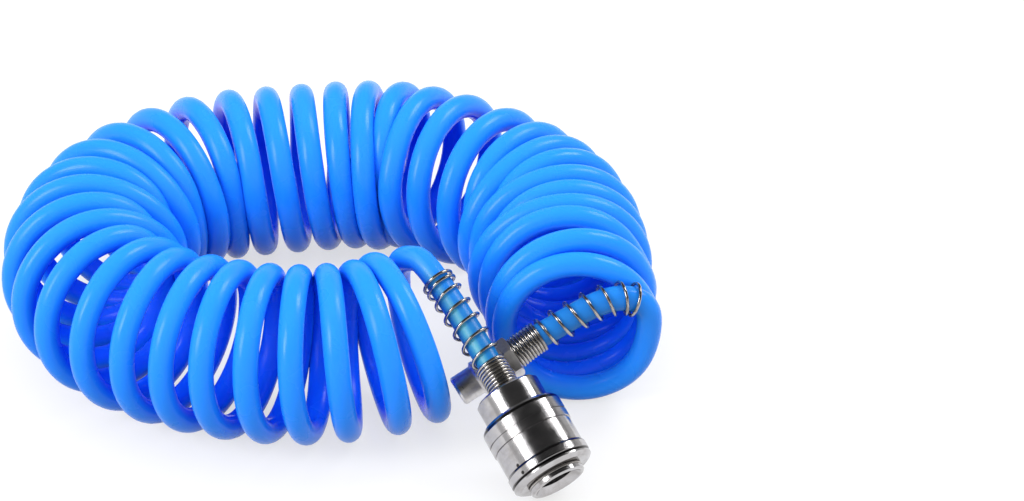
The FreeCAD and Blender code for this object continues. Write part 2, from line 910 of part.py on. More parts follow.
def plug_hose_nut(place):
    """Hexagon nut that holds the hose and the guard on the plug."""
    corner_radius = (guard_socket() + dim.nut_wall) * 2 / math.sqrt(3)
    rear = nut_front() + dim.nut_length
    thread = nut_thread_radius() + dim.thread_gap
    blank = turned("plug_nut_blank", [
        (thread, nut_front()),
        (corner_radius - dim.nut_bevel * 2, nut_front()),
        (corner_radius, nut_front() + dim.nut_bevel),
        (corner_radius, rear - dim.nut_bevel),
        (corner_radius - dim.nut_bevel * 2, rear),
        (guard_socket(), rear),
        (guard_socket(), nut_step()),
        (thread, nut_step()),
    ])
    flats = doc.addObject("Part::Prism", "plug_nut_flats")
    flats.Polygon = 6
    bind(flats, Circumradius=corner_radius, Height=dim.nut_length, Placement__Base__z=nut_front())
    nut = doc.addObject("Part::Common", "plug_hose_nut")
    nut.Base = blank
    nut.Tool = flats
    doc.recompute()
    keep(nut, "plug_hose_nut", place)


def check_document():
    """Stop if an object failed or a sub-part isn't one valid closed shape."""
    for item in doc.Objects:
        bad = [state for state in item.State if state in ("Invalid", "Error")]
        if bad:
            raise RuntimeError("%s is %s" % (item.Label, bad))
    for item in parts:
        shape = item.Shape
        if shape.isNull() or not shape.isValid() or not shape.Solids:
            raise RuntimeError("%s has no valid solid" % item.Label)


def main():
    """Build every sub-part, check it and write its file."""
    coupler_place = fitting_place(COUPLER_PLACE)
    plug_place = fitting_place(PLUG_PLACE, nose_radius().value)
    make_hose(coupler_place, plug_place)
    for make in (coupler_body, coupler_end_cap, coupler_hose_stem, coupler_sleeve, locking_balls,
                 valve_poppet, valve_seal, coupler_rings, coupler_springs):
        make(coupler_place)
    plug_body(plug_place)
    plug_hose_nut(plug_place)
    bend_guard("bend_guard_coupler", coupler_hose_end(), dim.coupler_guard_close_turns,
               dim.coupler_guard_open_turns, dim.coupler_guard_open_pitch, coupler_place)
    bend_guard("bend_guard_plug", nut_step(), dim.plug_guard_close_turns,
               dim.plug_guard_open_turns, dim.plug_guard_open_pitch, plug_place)
    doc.recompute()
    check_document()
    for label, radii in printed_radii:
        print("%s bend radii in mm: %s" % (label, ", ".join("%.1f" % radius for radius in radii)))
    os.makedirs("parts", exist_ok=True)
    whole = FreeCAD.BoundBox()
    for item in parts:
        item.Shape.exportStep("parts/%s.step" % item.Label)
        whole.add(item.Shape.BoundBox)
        print("%-22s solids %d volume %.1f" % (item.Label, len(item.Shape.Solids), item.Shape.Volume))
    print("box x %.2f to %.2f, y %.2f to %.2f, z %.2f to %.2f" % (
        whole.XMin, whole.XMax, whole.YMin, whole.YMax, whole.ZMin, whole.ZMax))


main()
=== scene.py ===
"""Looks of a coiled air hose: the wound hose, its wire bend guards, a quick coupler and a plug.

Everything is in metres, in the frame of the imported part. Lengths that are written in millimetres
are turned into metres by MM, and a full turn is in degrees.
"""

import logging
import math
from dataclasses import dataclass, field
from enum import Enum

import bmesh
import bpy
import numpy as np
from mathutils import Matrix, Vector


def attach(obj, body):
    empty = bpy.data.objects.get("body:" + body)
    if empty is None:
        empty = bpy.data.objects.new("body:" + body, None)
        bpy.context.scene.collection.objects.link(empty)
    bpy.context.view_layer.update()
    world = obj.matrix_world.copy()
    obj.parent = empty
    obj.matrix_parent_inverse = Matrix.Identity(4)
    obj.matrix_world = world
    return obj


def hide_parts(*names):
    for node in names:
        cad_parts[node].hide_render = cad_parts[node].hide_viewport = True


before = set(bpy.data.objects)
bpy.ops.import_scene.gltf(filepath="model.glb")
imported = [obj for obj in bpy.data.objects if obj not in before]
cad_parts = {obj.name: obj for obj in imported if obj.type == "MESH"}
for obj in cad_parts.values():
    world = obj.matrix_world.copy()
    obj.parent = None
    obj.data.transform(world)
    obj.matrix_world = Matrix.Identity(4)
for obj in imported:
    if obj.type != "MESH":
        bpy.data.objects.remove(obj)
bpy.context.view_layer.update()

MM = 0.001
FULL_TURN = 360.0
UP = np.array([0.0, 0.0, 1.0])
LOG = logging.getLogger("coiled_air_hose")

Colour = tuple[float, float, float]
Spot = tuple[float, float, float]
Span = tuple[float, float]
Pairs = tuple[Span, ...]


class Slot(Enum):
    """The record's material slots."""

    HOSE = "hose_blue"
    PLATED = "plated_brass"
    WIRE = "spring_wire"
    BALL = "ball_steel"
    BRASS = "plain_brass"
    RUBBER = "seal_rubber"


def unit(vector: np.ndarray) -> np.ndarray:
    """The vector at length one."""
    return vector / np.linalg.norm(vector)


def smooth_step(low: float, high: float, value: np.ndarray) -> np.ndarray:
    """Zero below low, one above high and a smooth rise between them."""
    share = np.clip((value - low) / (high - low), 0.0, 1.0)
    return share * share * (3.0 - 2.0 * share)


def smooth_line(points: np.ndarray, steps: int) -> np.ndarray:
    """Read the points of the smooth line that a row of control points gives.

    Args:
        points: Control points, one row each, in metres.
        steps: Points that the line has for each control point.

    Returns:
        The points along one open NURBS spline with those control points.
    """
    curve = bpy.data.curves.new("guide_line", "CURVE")
    curve.dimensions = "3D"
    curve.resolution_u = steps
    spline = curve.splines.new("NURBS")
    spline.points.add(len(points) - 1)
    for knot, place in zip(spline.points, points):
        knot.co = (*place, 1.0)
    spline.order_u = 3
    spline.use_endpoint_u = True
    guide = bpy.data.objects.new("guide_line", curve)
    bpy.context.scene.collection.objects.link(guide)
    bpy.context.view_layer.update()
    graph = bpy.context.evaluated_depsgraph_get()
    mesh = bpy.data.meshes.new_from_object(guide.evaluated_get(graph))
    line = np.array([vertex.co for vertex in mesh.vertices], float)
    bpy.data.objects.remove(guide)
    bpy.data.curves.remove(curve)
    bpy.data.meshes.remove(mesh)
    return line


def stations_of(line: np.ndarray) -> np.ndarray:
    """Length along a line at each of its points."""
    return np.concatenate([[0.0], np.cumsum(np.linalg.norm(np.diff(line, axis=0), axis=1))])


def directions_of(line: np.ndarray) -> np.ndarray:
    """Unit direction of a line at each of its points."""
    ahead = np.gradient(line, axis=0)
    return ahead / np.linalg.norm(ahead, axis=1)[:, None]


def read_rows(table: np.ndarray, stations: np.ndarray, wanted: float | np.ndarray) -> np.ndarray:
    """Read a table between its rows.

    Args:
        table: One row for each station.
        stations: Where the rows lie.
        wanted: One station or several.

    Returns:
        One row for each wanted station.
    """
    return np.stack([np.interp(wanted, stations, column) for column in table.T], axis=-1)


def carried_frames(line: np.ndarray, first_side: np.ndarray) -> tuple[np.ndarray, np.ndarray]:
    """Carry a pair of side vectors along a line without twisting them.

    Args:
        line: Points of the line.
        first_side: Rough direction of the first side vector at the line's start.

    Returns:
        Two unit vectors across the line at each point, at right angles to each other.
    """
    ahead = directions_of(line)
    side = unit(first_side - ahead[0] * (first_side @ ahead[0]))
    sides = []
    for direction in ahead:
        side = unit(side - direction * (side @ direction))
        sides.append(side)
    across = np.array(sides)
    return across, np.cross(ahead, across)


def tube_mesh(name: str, line: np.ndarray, radii: np.ndarray, across: np.ndarray, lift: np.ndarray,
              facets: int) -> bpy.types.Mesh:
    """Make an open tube around a line, with a map of length along it and angle round it.

    Args:
        name: Name of the mesh.
        line: Points of the line, one ring each.
        radii: Radius of each ring.
        across: First side vector of each ring.
        lift: Second side vector of each ring.
        facets: Faces round one ring.

    Returns:
        The mesh, whose UV map "along" holds metres along the line and turns round it.
    """
    angles = np.arange(facets) * 2.0 * math.pi / facets
    ring = np.cos(angles)[None, :, None] * across[:, None] + np.sin(angles)[None, :, None] * lift[:, None]
    places = line[:, None] + radii[:, None, None] * ring
    count = len(line)
    index = np.arange(count * facets).reshape(count, facets)
    after = np.roll(index, -1, axis=1)
    faces = np.stack([index[:-1], after[:-1], after[1:], index[1:]], axis=-1).reshape(-1, 4)
    mesh = bpy.data.meshes.new(name)
    mesh.from_pydata(places.reshape(-1, 3).tolist(), [], faces.tolist())
    run = stations_of(line)
    turn = np.arange(facets + 1) / facets
    low, high = run[:-1, None], run[1:, None]
    start, end = turn[None, :-1], turn[None, 1:]
    corners = [(low, start), (low, end), (high, end), (high, start)]
    flat = np.stack([np.stack(np.broadcast_arrays(u, v), axis=-1) for u, v in corners], axis=2)
    layer = mesh.uv_layers.new(name="along")
    layer.data.foreach_set("uv", flat.reshape(-1).astype(np.float32))
    mesh.polygons.foreach_set("use_smooth", [True] * len(mesh.polygons))
    mesh.update()
    return mesh


def add_piece(name: str, mesh: bpy.types.Mesh, body: str) -> bpy.types.Object:
    """Put a mesh in the scene as a piece that rides on a body.

    Args:
        name: Name of the piece.
        mesh: Its mesh, in the part's frame.
        body: The body that carries it.

    Returns:
        The new object.
    """
    piece = bpy.data.objects.new(name, mesh)
    bpy.context.scene.collection.objects.link(piece)
    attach(piece, body)
    LOG.info("%s: %d faces on %s", name, len(mesh.polygons), body)
    return piece


class Bench:
    """Lays out the nodes of one material."""

    def __init__(self, owner: bpy.types.Material | bpy.types.World) -> None:
        """Start with the empty tree of a material or of the world."""
        owner.use_nodes = True
        self.material = owner
        self.tree = owner.node_tree
        self.tree.nodes.clear()

    @classmethod
    def for_material(cls, name: str) -> "Bench":
        """Start a new material."""
        return cls(bpy.data.materials.new(name))

    def add(self, kind: str, **settings: object) -> bpy.types.Node:
        """Add a node and set its properties.

        Args:
            kind: Blender's name of the node type.
            **settings: Properties of the node.

        Returns:
            The new node.
        """
        node = self.tree.nodes.new(kind)
        for key, value in settings.items():
            setattr(node, key, value)
        return node

    def link(self, source: bpy.types.NodeSocket, target: bpy.types.NodeSocket) -> None:
        """Join two sockets."""
        self.tree.links.new(source, target)

    def feed(self, value: object, socket: bpy.types.NodeSocket) -> None:
        """Link a socket to another, or set it if the value is a plain one."""
        if isinstance(value, bpy.types.NodeSocket):
            self.link(value, socket)
        else:
            socket.default_value = value

    def sums(self, operation: str, first: object, second: object = 0.0) -> bpy.types.NodeSocket:
        """Result of a sum on one or two numbers.

        Args:
            operation: Blender's name of the operation.
            first: A socket or a number.
            second: A socket or a number.

        Returns:
            The socket of the result.
        """
        node = self.add("ShaderNodeMath", operation=operation)
        self.feed(first, node.inputs[0])
        self.feed(second, node.inputs[1])
        return node.outputs[0]

    def vector(self, operation: str, first: object, second: object,
               output: str = "Vector") -> bpy.types.NodeSocket:
        """Result of a sum on two vectors.

        Args:
            operation: Blender's name of the operation.
            first: A socket or a vector.
            second: A socket or a vector.
            output: Name of the output that is wanted.

        Returns:
            The socket of the result.
        """
        node = self.add("ShaderNodeVectorMath", operation=operation)
        self.feed(first, node.inputs[0])
        self.feed(second, node.inputs[1])
        return node.outputs[output]

    def ramp(self, value: object, low: float, high: float,
             start: float = 0.0, end: float = 1.0) -> bpy.types.NodeSocket:
        """Smooth change from start to end as a value goes from low to high.

        Args:
            value: The socket of the value.
            low: Value at which the result is start.
            high: Value at which the result is end.
            start: First result.
            end: Last result.

        Returns:
            The socket of the result.
        """
        node = self.add("ShaderNodeMapRange", interpolation_type="SMOOTHSTEP")
        for socket, item in zip(node.inputs, (value, low, high, start, end)):
            self.feed(item, socket)
        return node.outputs[0]

    def noise(self, place: bpy.types.NodeSocket, scale: float, detail: float = 2.0) -> bpy.types.NodeSocket:
        """Soft noise at a place.

        Args:
            place: The socket of the coordinates.
            scale: Grain of the noise, in waves for each metre.
            detail: How many finer layers it has.

        Returns:
            The socket of the noise, which is about a half on average.
        """
        node = self.add("ShaderNodeTexNoise")
        self.link(place, node.inputs["Vector"])
        node.inputs["Scale"].default_value = scale
        node.inputs["Detail"].default_value = detail
        return node.outputs["Fac"]

    def blend(self, share: object, first: object, second: object) -> bpy.types.NodeSocket:
        """Mix two colours.

        Args:
            share: Share of the second colour.
            first: A socket or a colour.
            second: A socket or a colour.

        Returns:
            The socket of the mixed colour.
        """
        node = self.add("ShaderNodeMix", data_type="RGBA")
        self.feed(share, node.inputs[0])
        for item, socket in ((first, node.inputs[6]), (second, node.inputs[7])):
            self.feed((*item, 1.0) if isinstance(item, tuple) else item, socket)
        return node.outputs[2]

    def bump(self, height: bpy.types.NodeSocket, depth: float, strength: float) -> bpy.types.NodeSocket:
        """Normal that a height gives.

        Args:
            height: The socket of the height, from 0 to 1.
            depth: Depth of the relief in metres.
            strength: Share of the relief that shows.

        Returns:
            The socket of the normal.
        """
        node = self.add("ShaderNodeBump")
        node.inputs["Strength"].default_value = strength
        node.inputs["Distance"].default_value = depth
        self.link(height, node.inputs["Height"])
        return node.outputs["Normal"]

    def surface(self, **sockets: object) -> bpy.types.Node:
        """Add the surface shader and the output.

        Args:
            **sockets: Values or sockets for the shader, its socket names with _ for a space.

        Returns:
            The shader node.
        """
        shader = self.add("ShaderNodeBsdfPrincipled")
        for key, value in sockets.items():
            socket = shader.inputs[key.replace("_", " ")]
            self.feed((*value, 1.0) if socket.type == "RGBA" and isinstance(value, tuple) else value, socket)
        output = self.add("ShaderNodeOutputMaterial")
        self.link(shader.outputs[0], output.inputs["Surface"])
        return shader

    def place(self) -> bpy.types.NodeSocket:
        """Coordinates of the surface in the part's frame."""
        return self.add("ShaderNodeTexCoord").outputs["Object"]


@dataclass(frozen=True)
class HosePlastic:
    """Clear blue polyurethane: glossy, with painted shade in a deeper blue where it faces into the turns,
    greener where the bore shows.

    A cloud of soft noise varies its tone and roughness, patches break up its painted highlight and
    ripples give it a slight relief. A span holds the values of a noise where a change starts and ends.
    """

    lit: Colour = (0.014, 0.248, 0.96)
    # painted shade: the deeper blue that stands in for shade on sides facing into the turns
    painted_shade: Colour = (0.003, 0.115, 0.97)
    clear: Colour = (0.01, 0.15, 0.42)
    # painted highlight: paler greenish colour laid on the side facing the lamps near the coupler end
    painted_highlight: Colour = (0.1, 0.4, 0.5)
    gloss: float = 0.2
    cloud_grain: float = 55.0
    cloud_detail: float = 3.0
    tone_span: Span = (0.3, 0.7)
    tone: Span = (-0.06, 0.06)
    rough_span: Span = (0.3, 0.75)
    roughness: Span = (0.221, 0.325)
    patch_waves: Spot = (60.0, 3.0, 0.0)
    patch_span: Span = (0.3, 0.7)
    patch: Span = (0.5, 1.0)
    ripple_waves: Spot = (9.0, 40.0, 0.0)
    ripple_depth: float = 0.04 * MM
    ripple_strength: float = 0.5
    milkiness: float = 0.12
    milk_reach: Spot = (0.15, 0.5, 1.0)
    milk_depth: float = 3.0 * MM

    def material(self) -> bpy.types.Material:
        """Make the finish from the hose's map and its point values: the share of painted shade, the share of
        clear look and the share of painted highlight.
        """
        bench = Bench.for_material("blue_polyurethane")
        along = bench.add("ShaderNodeUVMap", uv_map="along").outputs[0]
        inward, clear, highlight_share = [bench.add("ShaderNodeAttribute", attribute_name=name).outputs["Fac"]
                                for name in ("inward", "clear", "highlight_share")]
        cloud = bench.noise(bench.place(), self.cloud_grain, self.cloud_detail)
        # share of painted shade, with random tone from the cloud on top
        depth = bench.sums("ADD", inward, bench.ramp(cloud, *self.tone_span, *self.tone))
        body = bench.blend(bench.ramp(depth, 0.0, 1.0), self.lit, self.painted_shade)
        # painted highlight: near the coupler end, the side facing the lamps is blended to a paler colour in
        # patches
        patches = bench.noise(bench.vector("MULTIPLY", along, self.patch_waves), 1.0)
        light = bench.sums("MULTIPLY", highlight_share, bench.ramp(patches, *self.patch_span, *self.patch))
        colour = bench.blend(light, bench.blend(clear, body, self.clear), self.painted_highlight)
        ripples = bench.noise(bench.vector("MULTIPLY", along, self.ripple_waves), 1.0)
        rough = bench.ramp(cloud, *self.rough_span, *self.roughness)
        bench.surface(Base_Color=colour, Roughness=rough, Specular_IOR_Level=self.gloss,
                      Subsurface_Weight=self.milkiness, Subsurface_Radius=self.milk_reach,
                      Subsurface_Scale=self.milk_depth,
                      Normal=bench.bump(ripples, self.ripple_depth, self.ripple_strength))
        return bench.material


@dataclass(frozen=True)
class Mark:
    """A dark mark on metal: how far it reaches, its full share of that, its strength and its tone."""

    reach: float
    full: float
    strength: float
    tone: float


@dataclass(frozen=True)
class Metal:
    """A turned metal finish with fine tool lines and soft bands round its axis.

    Grain is in waves for each metre, and the bands' grain is a share of the lines'. The finish may
    have dark dots at places of the part, and painted shade as thin dark rings at the stations of its
    grooves along the axis. A span holds the values of a noise where a change starts and ends.
    """

    name: str
    colour: Colour
    shade: Colour
    roughness: float
    line_grain: float = 5200.0
    line_detail: float = 3.0
    line_depth: float = 0.012 * MM
    line_strength: float = 0.35
    band_grain: float = 0.13
    band_weight: float = 0.4
    cloud_grain: float = 240.0
    cloud_detail: float = 4.0
    wear_span: Span = (0.55, 0.95)
    rough_span: Span = (0.5, 1.1)
    rough_shares: Span = (0.75, 1.5)
    rough_line_weight: float = 0.5
    dots: tuple[Spot, ...] = ()
    dot: Mark = Mark(reach=0.75 * MM, full=0.6, strength=1.0, tone=0.12)
    # painted shade: dark rings at the stations of the grooves along the axis, and how they fade
    groove_shades: tuple[float, ...] = ()
    ring: Mark = Mark(reach=0.6 * MM, full=0.5, strength=0.9, tone=0.1)

    def marked(self, bench: Bench, colour: bpy.types.NodeSocket, gap: bpy.types.NodeSocket,
               mark: Mark) -> bpy.types.NodeSocket:
        """Darken the colour at a mark.

        Args:
            bench: Bench of the material.
            colour: The socket of the colour so far.
            gap: The socket of the distance from the middle of the mark.
            mark: The mark.

        Returns:
            The socket of the colour with the mark.
        """
        share = bench.ramp(gap, mark.reach * mark.full, mark.reach, mark.strength, 0.0)
        return bench.blend(share, colour, tuple(mark.tone * item for item in self.shade))

    def material(self, axis: np.ndarray, front: np.ndarray) -> bpy.types.Material:
        """Make the finish for pieces that are turned about an axis.

        Args:
            axis: Unit direction of the axis.
            front: Point on the axis from which the stations of the painted groove shade are counted.

        Returns:
            The material.
        """
        bench = Bench.for_material(self.name)
        place = bench.place()
        from_front = bench.vector("SUBTRACT", place, tuple(front))
        station = bench.vector("DOT_PRODUCT", from_front, tuple(axis), "Value")
        spread = bench.add("ShaderNodeCombineXYZ")
        bench.link(station, spread.inputs[0])
        lines = bench.noise(spread.outputs[0], self.line_grain, self.line_detail)
        bands = bench.noise(spread.outputs[0], self.line_grain * self.band_grain)
        cloud = bench.noise(place, self.cloud_grain, self.cloud_detail)
        wear = bench.sums("ADD", cloud, bench.sums("MULTIPLY", bands, self.band_weight))
        colour = bench.blend(bench.ramp(wear, *self.wear_span), self.colour, self.shade)
        for dot in self.dots:
            colour = self.marked(bench, colour, bench.vector("DISTANCE", place, dot, "Value"), self.dot)
        # painted shade in the grooves
        for ring in self.groove_shades:
            gap = bench.sums("ABSOLUTE", bench.sums("SUBTRACT", station, ring))
            colour = self.marked(bench, colour, gap, self.ring)
        grind = bench.sums("ADD", bench.sums("MULTIPLY", lines, self.rough_line_weight), cloud)
        smoothest, roughest = [self.roughness * share for share in self.rough_shares]
        bench.surface(Base_Color=colour, Metallic=1.0,
                      Roughness=bench.ramp(grind, *self.rough_span, smoothest, roughest),
                      Normal=bench.bump(lines, self.line_depth, self.line_strength))
        return bench.material


@dataclass(frozen=True)
class Rubber:
    """Black seal rubber with a faint bloom.

    A span holds the values of its noise where a change starts and ends.
    """

    dark: Colour = (0.012, 0.012, 0.013)
    bloom: Colour = (0.05, 0.05, 0.05)
    grain: float = 900.0
    detail: float = 4.0
    bloom_span: Span = (0.45, 0.8)
    rough_span: Span = (0.3, 0.8)
    roughness: Span = (0.4, 0.65)
    relief_depth: float = 0.02 * MM
    relief_strength: float = 0.4

    def material(self) -> bpy.types.Material:
        """Make the finish."""
        bench = Bench.for_material("seal_rubber")
        cloud = bench.noise(bench.place(), self.grain, self.detail)
        colour = bench.blend(bench.ramp(cloud, *self.bloom_span), self.dark, self.bloom)
        bench.surface(Base_Color=colour, Roughness=bench.ramp(cloud, *self.rough_span, *self.roughness),
                      Normal=bench.bump(cloud, self.relief_depth, self.relief_strength))
        return bench.material


@dataclass(frozen=True)
class Fitting:
    """Place of a fitting: its front point in the layout, its compass heading and how far its nose dips."""

    front: Spot
    heading: float
    dip: float

    def back(self) -> np.ndarray:
        """Unit direction from the front of the fitting backwards along its axis."""
        heading, dip = math.radians(self.heading), math.radians(self.dip)
        level = math.cos(dip)
        return np.array([-math.cos(heading) * level, -math.sin(heading) * level, math.sin(dip)])

    def side(self) -> np.ndarray:
        """Level unit direction across the axis."""
        heading = math.radians(self.heading)
        return np.array([-math.sin(heading), math.cos(heading), 0.0])


@dataclass(frozen=True)
class EndTurn:
    """One turn of hose that stands clear of the coil.

    Its centre moves from the first of its centres to the last while the hose winds through its
    phases, in degrees from the top. Back is the compass angle at which its quarter turn lies, and
    lean says how far it leans over sideways for each unit of height.
    """

    centres: tuple[Span, Span]
    phases: Span
    back: float
    radius: float
    lean: Span


@dataclass
class HoseRun:
    """The line of the hose from the coupler, round the coil, to the plug. Places are in millimetres.

    Pitches, slants and yaws are pairs of a turn and its value in millimetres: the way to the next
    turn, how far back along the route its top lies, and how far back its inner side lies. Turns
    that lie closer to each other than the nest spacing move in and out by turns.
    """

    layout_centre: Span = (-1.1, 5.1)
    coil_route: Pairs = (
        (22.3, -33.0), (6.0, -41.0), (-29.0, -39.5), (-67.5, -23.0), (-82.0, 8.0), (-74.5, 40.0),
        (-47.0, 63.0), (-15.0, 68.0), (8.0, 70.9), (24.0, 69.6), (50.0, 56.5), (71.0, 36.0),
        (75.5, 10.0), (75.2, -6.0), (77.5, -18.9))
    centre_height: float = 28.5
    hose_diameter: float = 8.0
    coil_radius: float = 24.5
    coupler: Fitting = Fitting(front=(72.4, -81.9, 9.9), heading=-55.8, dip=31.0)
    plug: Fitting = Fitting(front=(40.9, -46.8, 18.8), heading=202.7, dip=24.5)
    coupler_hose_end: float = 30.8
    plug_hose_end: float = 19.6
    coupler_tail: tuple[Spot, ...] = ((32.2, -22.9, 52.3), (24.3, -16.6, 49.5), (21.7, -8.9, 41.6))
    plug_tail: tuple[Spot, ...] = (
        (102.1, -27.8, 37.7), (94.5, -28.1, 42.5), (84.5, -29.9, 41.1), (71.1, -33.8, 34.2),
        (63.6, -36.7, 31.0))
    coupler_turn: EndTurn = EndTurn(centres=((29.9, -27.2), (22.3, -32.1)), phases=(90.0, 378.0),
                                    back=110.0, radius=24.5, lean=(-0.14, 0.0))
    plug_turn: EndTurn = EndTurn(centres=((78.0, -18.9), (78.3, -25.7)), phases=(-72.0, 252.0),
                                 back=180.0, radius=22.6, lean=(0.0, 0.0))
    whole_turns: int = 36
    pitches: Pairs = (
        (0.0, 13.5), (1.9, 11.4), (3.8, 10.9), (5.7, 11.8), (7.5, 12.1), (9.4, 12.2), (11.3, 11.4),
        (13.2, 11.0), (15.1, 11.9), (17.0, 12.5), (18.8, 12.1), (20.7, 11.6), (22.6, 10.1),
        (24.5, 8.4), (26.4, 16.0), (28.3, 9.8), (30.1, 8.2), (32.0, 8.4), (33.5, 6.4), (34.5, 12.4),
        (35.4, 8.0))
    slants: Pairs = (
        (0.5, 0.0), (1.0, 1.2), (2.0, 0.4), (6.0, 0.4), (7.0, 1.8), (9.0, 1.2), (11.0, 0.0),
        (13.5, 0.0), (16.0, 2.3), (19.0, 2.6), (20.0, 2.9), (22.0, 3.6), (23.0, 3.9), (25.0, 3.9),
        (26.0, 4.4), (28.5, 3.6), (30.0, 4.2), (31.5, 2.6), (33.0, 2.0), (34.2, 2.4), (35.2, 0.0))
    yaws: Pairs = (
        (1.0, 0.0), (2.5, 2.6), (7.0, 2.8), (9.0, 0.5), (11.0, -1.5), (14.0, -1.5), (17.0, 0.8),
        (19.0, 0.4), (20.0, 1.0), (22.0, 3.4), (24.0, 3.8), (26.0, 4.0), (28.0, 1.5), (30.0, 0.0))
    nest_spacing: float = 8.05
    turn_points: int = 12
    route_steps: int = 24
    line_steps: int = 7

    def spot(self, place: Spot) -> np.ndarray:
        """A place of the layout in the part's frame, in metres."""
        return np.array([place[0] - self.layout_centre[0], place[1] - self.layout_centre[1], place[2]]) * MM

    def along(self, fitting: Fitting, station: float) -> np.ndarray:
        """A point on a fitting's axis, in metres."""
        return self.spot(fitting.front) + fitting.back() * station * MM

    def control_radius(self, radius: float) -> float:
        """Distance of control points from the middle of a turn, so that the smooth line has that radius."""
        return radius * MM / (0.75 + 0.25 * math.cos(2.0 * math.pi / self.turn_points))

    def route(self) -> np.ndarray:
        """Points along the middle of the coil, in metres."""
        places = [self.spot((x, y, self.centre_height)) for x, y in self.coil_route]
        return smooth_line(np.array(places), self.route_steps)

    def end_turn(self, turn: EndTurn) -> list[np.ndarray]:
        """Work out the control points of one end turn.

        Args:
            turn: Where the turn lies.

        Returns:
            Its control points, in metres.
        """
        first, last = turn.phases
        count = round(abs(last - first) * self.turn_points / FULL_TURN)
        radius = self.control_radius(turn.radius)
        angle = math.radians(turn.back)
        back = np.array([math.cos(angle), math.sin(angle), 0.0])
        start, end = [self.spot((x, y, turn.radius + self.hose_diameter / 2.0)) for x, y in turn.centres]
        points = []
        for index in range(count + 1):
            share = index / count
            phase = math.radians(first + (last - first) * share)
            rise = radius * math.cos(phase)
            lean = np.array([*turn.lean, 1.0]) * rise
            points.append(start + (end - start) * share + back * radius * math.sin(phase) + lean)
        return points

    def nested(self, phase: float, spacing: float) -> float:
        """Work out how far a turn moves in or out to lie beside its neighbours.

        Args:
            phase: Degrees that the hose has wound so far.
            spacing: Way to the next turn at this phase, in millimetres.

        Returns:
            The move in metres, to one side and the other by turns.
        """
        side = 1.0 if math.floor((phase + FULL_TURN / 4.0) / FULL_TURN) % 2 else -1.0
        return side * math.sqrt(max(0.0, self.nest_spacing ** 2 - spacing ** 2)) / 2.0 * MM

    def coil(self) -> list[np.ndarray]:
        """Work out the control points of the coil by winding round its route.

        Returns:
            The control points between the two end turns, in metres.
        """
        route = self.route()
        run = stations_of(route)
        ahead = directions_of(route)
        bend = -np.gradient(np.unwrap(np.arctan2(ahead[:, 1], ahead[:, 0])), run)
        first = self.coupler_turn.phases[1]
        last = self.plug_turn.phases[0] + FULL_TURN * self.whole_turns
        count = round((last - first) * self.turn_points / FULL_TURN)
        phases = np.linspace(first, last, count + 1)
        pitch, slant, yaw = [np.interp(phases / FULL_TURN, *zip(*pairs))
                             for pairs in (self.pitches, self.slants, self.yaws)]
        travel = np.concatenate([[0.0], np.cumsum((pitch[1:] + pitch[:-1]) / 2.0)])
        travel *= run[-1] / travel[-1]
        angles = np.radians(phases)
        travel -= (slant * (1.0 + np.cos(angles)) / 2.0 + yaw * np.sin(angles)) * MM
        points = []
        for phase, angle, station, step in list(zip(phases, angles, travel, pitch))[1:-1]:
            inward = np.cross(unit(read_rows(ahead, run, station)), UP)
            bending = np.interp(station, run, bend) * self.coil_radius * MM
            from_first = max(0.0, 1.0 - (phase - first) / FULL_TURN)
            to_last = max(0.0, 1.0 - (last - phase) / FULL_TURN)
            radius = self.coil_radius + (self.plug_turn.radius - self.coil_radius) * to_last
            rise = self.control_radius(radius) * math.cos(angle)
            nest = self.nested(phase, step * (1.0 - bending * math.sin(angle)))
            reach = (self.control_radius(radius) + nest) * math.sin(angle)
            lean = self.coupler_turn.lean[0] * rise * from_first
            shift = np.array([lean, 0.0, (radius - self.coil_radius) * MM])
            points.append(read_rows(route, run, station) + inward * reach + UP * rise + shift)
        return points

    def centreline(self) -> np.ndarray:
        """Points along the whole hose, from the coupler to the plug, in metres."""
        points = [self.along(self.coupler, self.coupler_hose_end)]
        points += [self.spot(place) for place in self.coupler_tail]
        points += self.end_turn(self.coupler_turn)
        points += self.coil()
        points += self.end_turn(self.plug_turn)
        points += [self.spot(place) for place in self.plug_tail]
        points.append(self.along(self.plug, self.plug_hose_end))
        return smooth_line(np.array(points), self.line_steps)


